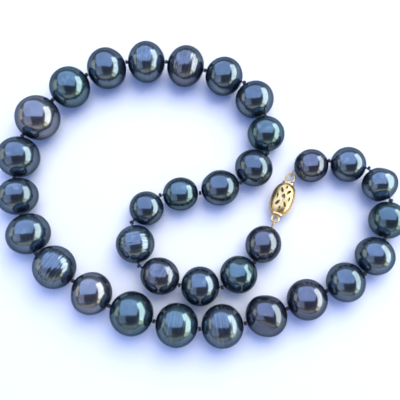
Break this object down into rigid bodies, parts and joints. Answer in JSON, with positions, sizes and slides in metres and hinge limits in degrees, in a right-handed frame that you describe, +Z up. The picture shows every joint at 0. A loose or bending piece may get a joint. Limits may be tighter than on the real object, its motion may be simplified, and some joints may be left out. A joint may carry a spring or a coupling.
{
  "type": "pearl necklace",
  "caption": "Knotted strand of graduated dark pearls laid in two loops, closed by a pierced oval fish-hook clasp.",
  "frame": {"origin": "centre of the strand's footprint, on the surface that it lies on", "axes": "+Z up from that surface; +X along the long way of the two loops; +Y across them, away from the viewer"},
  "size_m": [0.1266, 0.0981, 0.0146],
  "materials": {
    "dark_pearl": "mirror-bright peacock-grey nacre with green and aubergine overtones, some with turned rings",
    "dark_silk": "twisted silk, knotted between pearls",
    "yellow_gold": "polished yellow gold",
    "white_gold": "polished pale gold sheet"
  },
  "bodies": {
    "root": {"silk_anchors": "dark_silk", "barrel_top_shell": "yellow_gold", "barrel_bottom_shell": "yellow_gold", "mouth_collar": "yellow_gold", "barrel_end_ring": "yellow_gold", "wire_guard_barrel_end": "yellow_gold"},
    "strand_04": {"silk_04": "dark_silk"},
    "strand_03": {"silk_03": "dark_silk"},
    "strand_02": {"silk_02": "dark_silk"},
    "strand_01": {"silk_01": "dark_silk", "wire_guard_hook_end": "yellow_gold"},
    "hook": {"hook_tongue": "white_gold", "hook_ring": "yellow_gold"},
    "blade": {"hook_spring_blade": "white_gold"},
    "strand_10_24": {"silk_outer_10_24": "dark_silk"},
    "strand_11_23": {"silk_outer_11_23": "dark_silk"},
    "strand_12_22": {"silk_outer_12_22": "dark_silk"},
    "strand_13_21": {"silk_outer_13_21": "dark_silk"},
    "strand_14_20": {"silk_outer_14_20": "dark_silk"},
    "strand_15_19": {"silk_outer_15_19": "dark_silk"},
    "strand_16_18": {"silk_outer_16_18": "dark_silk"},
    "strand_26_32": {"silk_inner_26_32": "dark_silk"},
    "strand_27_31": {"silk_inner_27_31": "dark_silk"},
    "strand_28_30": {"silk_inner_28_30": "dark_silk"},
    "strand_06_08": {"silk_right_06_08": "dark_silk"},
    "pearl_01_body": {"pearl_01": "dark_pearl"},
    "pearl_02_body": {"pearl_02": "dark_pearl"},
    "pearl_03_body": {"pearl_03": "dark_pearl"},
    "pearl_04_body": {"pearl_04": "dark_pearl"},
    "pearl_05_body": {"pearl_05": "dark_pearl"},
    "pearl_06_body": {"pearl_06": "dark_pearl"},
    "pearl_07_body": {"pearl_07": "dark_pearl"},
    "pearl_08_body": {"pearl_08": "dark_pearl"},
    "pearl_09_body": {"pearl_09": "dark_pearl"},
    "pearl_10_body": {"pearl_10": "dark_pearl"},
    "pearl_11_body": {"pearl_11": "dark_pearl"},
    "pearl_12_body": {"pearl_12": "dark_pearl"},
    "pearl_13_body": {"pearl_13": "dark_pearl"},
    "pearl_14_body": {"pearl_14": "dark_pearl"},
    "pearl_15_body": {"pearl_15": "dark_pearl"},
    "pearl_16_body": {"pearl_16": "dark_pearl"},
    "pearl_17_body": {"pearl_17": "dark_pearl"},
    "pearl_18_body": {"pearl_18": "dark_pearl"},
    "pearl_19_body": {"pearl_19": "dark_pearl"},
    "pearl_20_body": {"pearl_20": "dark_pearl"},
    "pearl_21_body": {"pearl_21": "dark_pearl"},
    "pearl_22_body": {"pearl_22": "dark_pearl"},
    "pearl_23_body": {"pearl_23": "dark_pearl"},
    "pearl_24_body": {"pearl_24": "dark_pearl"},
    "pearl_25_body": {"pearl_25": "dark_pearl"},
    "pearl_26_body": {"pearl_26": "dark_pearl"},
    "pearl_27_body": {"pearl_27": "dark_pearl"},
    "pearl_28_body": {"pearl_28": "dark_pearl"},
    "pearl_29_body": {"pearl_29": "dark_pearl"},
    "pearl_30_body": {"pearl_30": "dark_pearl"},
    "pearl_31_body": {"pearl_31": "dark_pearl"},
    "pearl_32_body": {"pearl_32": "dark_pearl"},
    "pearl_33_body": {"pearl_33": "dark_pearl"}
  },
  "joints": [
    {"name": "clasp_open", "type": "hinge", "parent": "strand_04", "child": "strand_03", "pos_m": [0.0589, -0.0045, 0.0058], "axis": [0, 0, -1], "range_deg": [0, 12.24]},
    {"name": "clasp_open_at_knot_4", "type": "hinge", "parent": "root", "child": "strand_04", "pos_m": [0.0559, -0.0167, 0.0061], "axis": [0, 0, 1], "range_deg": [-1.96, 0]},
    {"name": "clasp_open_at_knot_2", "type": "hinge", "parent": "strand_03", "child": "strand_02", "pos_m": [0.0529, 0.006, 0.0057], "axis": [0, 0, 1], "range_deg": [-3.28, 0]},
    {"name": "clasp_open_at_knot_1", "type": "hinge", "parent": "strand_02", "child": "strand_01", "pos_m": [0.0407, 0.0085, 0.0055], "axis": [0, 0, 1], "range_deg": [-1.9, 0]},
    {"name": "clasp_open_at_ring", "type": "hinge", "parent": "strand_01", "child": "hook", "pos_m": [0.02903, 0.00448, 0.0042], "axis": [0, 0, 1], "range_deg": [0, 19.62]},
    {"name": "blade_press", "type": "hinge", "parent": "hook", "child": "blade", "pos_m": [0.02487, -0.00592, 0.0046], "axis": [-0.9285, 0.3714, 0], "range_deg": [0, 3]},
    {"name": "lift_outer_1", "type": "hinge", "parent": "root", "child": "strand_10_24", "pos_m": [0.0001, -0.0434, 0.0065], "axis": [0.3643, 0.9313, -0.0069], "range_deg": [0, 12]},
    {"name": "lift_outer_2", "type": "hinge", "parent": "strand_10_24", "child": "strand_11_23", "pos_m": [-0.0132, -0.0412, 0.0066], "axis": [0.4662, 0.8846, -0.0055], "range_deg": [0, 12]},
    {"name": "lift_outer_3", "type": "hinge", "parent": "strand_11_23", "child": "strand_12_22", "pos_m": [-0.0263, -0.0368, 0.0066], "axis": [0.4935, 0.8697, -0.0024], "range_deg": [0, 12]},
    {"name": "lift_outer_4", "type": "hinge", "parent": "strand_12_22", "child": "strand_13_21", "pos_m": [-0.0374, -0.0294, 0.0064], "axis": [0.4956, 0.8685, 0.0038], "range_deg": [0, 12]},
    {"name": "lift_outer_5", "type": "hinge", "parent": "strand_13_21", "child": "strand_14_20", "pos_m": [-0.0488, -0.0213, 0.0069], "axis": [0.5135, 0.8581, 0.0014], "range_deg": [0, 12]},
    {"name": "lift_outer_6", "type": "hinge", "parent": "strand_14_20", "child": "strand_15_19", "pos_m": [-0.0542, -0.0093, 0.0068], "axis": [0.5083, 0.8612, 0.0017], "range_deg": [0, 12]},
    {"name": "lift_outer_7", "type": "hinge", "parent": "strand_15_19", "child": "strand_16_18", "pos_m": [-0.0573, 0.0025, 0.0064], "axis": [0.5069, 0.862, 0.0098], "range_deg": [0, 12]},
    {"name": "lift_inner_1", "type": "hinge", "parent": "root", "child": "strand_26_32", "pos_m": [0.0128, 0.0012, 0.006], "axis": [-0.147, 0.9889, 0.0199], "range_deg": [0, 12]},
    {"name": "lift_inner_2", "type": "hinge", "parent": "strand_26_32", "child": "strand_27_31", "pos_m": [0.0002, -0.002, 0.0054], "axis": [-0.2165, 0.976, -0.0233], "range_deg": [0, 12]},
    {"name": "lift_inner_3", "type": "hinge", "parent": "strand_27_31", "child": "strand_28_30", "pos_m": [-0.0121, -0.0026, 0.0051], "axis": [-0.2161, 0.9761, -0.0244], "range_deg": [0, 12]},
    {"name": "lift_right", "type": "hinge", "parent": "root", "child": "strand_06_08", "pos_m": [0.0492, -0.0272, 0.0061], "axis": [-0.9263, -0.3767, 0.0103], "range_deg": [0, 12]},
    {"name": "pearl_01_spin", "type": "hinge", "parent": "strand_01", "child": "pearl_01_body", "pos_m": [0.03507, 0.00696, 0.0053], "axis": [0.9638, 0.2644, 0.0341], "continuous": true},
    {"name": "pearl_02_spin", "type": "hinge", "parent": "strand_02", "child": "pearl_02_body", "pos_m": [0.0466, 0.00729, 0.0056], "axis": [0.9795, -0.2007, 0.0161], "continuous": true},
    {"name": "pearl_03_spin", "type": "hinge", "parent": "strand_03", "child": "pearl_03_body", "pos_m": [0.05593, 0.0007, 0.00575], "axis": [0.4961, -0.8682, 0.0083], "continuous": true},
    {"name": "pearl_04_spin", "type": "hinge", "parent": "strand_04", "child": "pearl_04_body", "pos_m": [0.05736, -0.01074, 0.00595], "axis": [-0.2387, -0.9708, 0.0239], "continuous": true},
    {"name": "pearl_05_spin", "type": "hinge", "parent": "root", "child": "pearl_05_body", "pos_m": [0.05258, -0.0219, 0.0061], "axis": [-0.5379, -0.843, 0], "continuous": true},
    {"name": "pearl_06_spin", "type": "hinge", "parent": "strand_06_08", "child": "pearl_06_body", "pos_m": [0.04335, -0.02977, 0.00605], "axis": [-0.9154, -0.4025, -0.0079], "continuous": true},
    {"name": "pearl_07_spin", "type": "hinge", "parent": "strand_06_08", "child": "pearl_07_body", "pos_m": [0.03165, -0.0349, 0.00615], "axis": [-0.9161, -0.4003, 0.0231], "continuous": true},
    {"name": "pearl_08_spin", "type": "hinge", "parent": "strand_06_08", "child": "pearl_08_body", "pos_m": [0.0195, -0.03965, 0.0064], "axis": [-0.9447, -0.3276, 0.0152], "continuous": true},
    {"name": "pearl_09_spin", "type": "hinge", "parent": "root", "child": "pearl_09_body", "pos_m": [0.0067, -0.0426, 0.0065], "axis": [-0.9927, -0.1203, 0], "continuous": true},
    {"name": "pearl_10_spin", "type": "hinge", "parent": "strand_10_24", "child": "pearl_10_body", "pos_m": [-0.00655, -0.0423, 0.00655], "axis": [-0.9866, 0.1632, 0.0074], "continuous": true},
    {"name": "pearl_11_spin", "type": "hinge", "parent": "strand_11_23", "child": "pearl_11_body", "pos_m": [-0.01975, -0.039, 0.0066], "axis": [-0.948, 0.3184, 0], "continuous": true},
    {"name": "pearl_12_spin", "type": "hinge", "parent": "strand_12_22", "child": "pearl_12_body", "pos_m": [-0.03185, -0.0331, 0.0065], "axis": [-0.832, 0.5546, -0.015], "continuous": true},
    {"name": "pearl_13_spin", "type": "hinge", "parent": "strand_13_21", "child": "pearl_13_body", "pos_m": [-0.04307, -0.02537, 0.00665], "axis": [-0.8147, 0.5788, 0.0357], "continuous": true},
    {"name": "pearl_14_spin", "type": "hinge", "parent": "strand_14_20", "child": "pearl_14_body", "pos_m": [-0.05152, -0.01527, 0.00685], "axis": [-0.4104, 0.9119, -0.0076], "continuous": true},
    {"name": "pearl_15_spin", "type": "hinge", "parent": "strand_15_19", "child": "pearl_15_body", "pos_m": [-0.05575, -0.0034, 0.0066], "axis": [-0.254, 0.9667, -0.0328], "continuous": true},
    {"name": "pearl_16_spin", "type": "hinge", "parent": "strand_16_18", "child": "pearl_16_body", "pos_m": [-0.0565, 0.00932, 0.00685], "axis": [0.1158, 0.9911, 0.0651], "continuous": true},
    {"name": "pearl_17_spin", "type": "hinge", "parent": "strand_16_18", "child": "pearl_17_body", "pos_m": [-0.05133, 0.02237, 0.0073], "axis": [0.5775, 0.8164, 0], "continuous": true},
    {"name": "pearl_18_spin", "type": "hinge", "parent": "strand_16_18", "child": "pearl_18_body", "pos_m": [-0.0418, 0.0331, 0.00705], "axis": [0.7485, 0.6621, -0.036], "continuous": true},
    {"name": "pearl_19_spin", "type": "hinge", "parent": "strand_15_19", "child": "pearl_19_body", "pos_m": [-0.0302, 0.03995, 0.00685], "axis": [0.9434, 0.3317, 0.0074], "continuous": true},
    {"name": "pearl_20_spin", "type": "hinge", "parent": "strand_14_20", "child": "pearl_20_body", "pos_m": [-0.0173, 0.0422, 0.00695], "axis": [1, 0, 0.0077], "continuous": true},
    {"name": "pearl_21_spin", "type": "hinge", "parent": "strand_13_21", "child": "pearl_21_body", "pos_m": [-0.0045, 0.04075, 0.00685], "axis": [0.9743, -0.2242, -0.0232], "continuous": true},
    {"name": "pearl_22_spin", "type": "hinge", "parent": "strand_12_22", "child": "pearl_22_body", "pos_m": [0.008, 0.03725, 0.00655], "axis": [0.9492, -0.3139, -0.0224], "continuous": true},
    {"name": "pearl_23_spin", "type": "hinge", "parent": "strand_11_23", "child": "pearl_23_body", "pos_m": [0.01777, 0.02917, 0.0063], "axis": [0.483, -0.8755, -0.0151], "continuous": true},
    {"name": "pearl_24_spin", "type": "hinge", "parent": "strand_10_24", "child": "pearl_24_body", "pos_m": [0.02109, 0.0173, 0.00615], "axis": [0.0315, -0.9995, -0.0079], "continuous": true},
    {"name": "pearl_25_spin", "type": "hinge", "parent": "root", "child": "pearl_25_body", "pos_m": [0.01699, 0.00593, 0.00605], "axis": [-0.6629, -0.7487, -0.0078], "continuous": true},
    {"name": "pearl_26_spin", "type": "hinge", "parent": "strand_26_32", "child": "pearl_26_body", "pos_m": [0.00645, -0.00041, 0.0057], "axis": [-0.9682, -0.2459, -0.0461], "continuous": true},
    {"name": "pearl_27_spin", "type": "hinge", "parent": "strand_27_31", "child": "pearl_27_body", "pos_m": [-0.00582, -0.00229, 0.00525], "axis": [-0.9985, -0.0487, -0.0244], "continuous": true},
    {"name": "pearl_28_spin", "type": "hinge", "parent": "strand_28_30", "child": "pearl_28_body", "pos_m": [-0.01624, -0.00694, 0.00549], "axis": [-0.6892, -0.7216, 0.0649], "continuous": true},
    {"name": "pearl_29_spin", "type": "hinge", "parent": "strand_28_30", "child": "pearl_29_body", "pos_m": [-0.0193, -0.01821, 0.00595], "axis": [0.1905, -0.9817, 0.0073], "continuous": true},
    {"name": "pearl_30_spin", "type": "hinge", "parent": "strand_28_30", "child": "pearl_30_body", "pos_m": [-0.0117, -0.02787, 0.0059], "axis": [0.9045, -0.4261, -0.015], "continuous": true},
    {"name": "pearl_31_spin", "type": "hinge", "parent": "strand_27_31", "child": "pearl_31_body", "pos_m": [0.00028, -0.03094, 0.00595], "axis": [0.9982, -0.0555, 0.0238], "continuous": true},
    {"name": "pearl_32_spin", "type": "hinge", "parent": "strand_26_32", "child": "pearl_32_body", "pos_m": [0.01169, -0.02743, 0.00579], "axis": [0.7893, 0.6121, -0.0483], "continuous": true},
    {"name": "pearl_33_spin", "type": "hinge", "parent": "root", "child": "pearl_33_body", "pos_m": [0.01934, -0.01817, 0.00545], "axis": [0.4568, 0.8895, -0.008], "continuous": true}
  ],
  "couplings": [
    {"joint": "clasp_open_at_knot_4", "follows": "clasp_open", "ratio": -0.1567},
    {"joint": "clasp_open_at_knot_2", "follows": "clasp_open", "ratio": -0.2631},
    {"joint": "clasp_open_at_knot_1", "follows": "clasp_open", "ratio": -0.1521},
    {"joint": "clasp_open_at_ring", "follows": "clasp_open", "ratio": 1.5718}
  ]
}
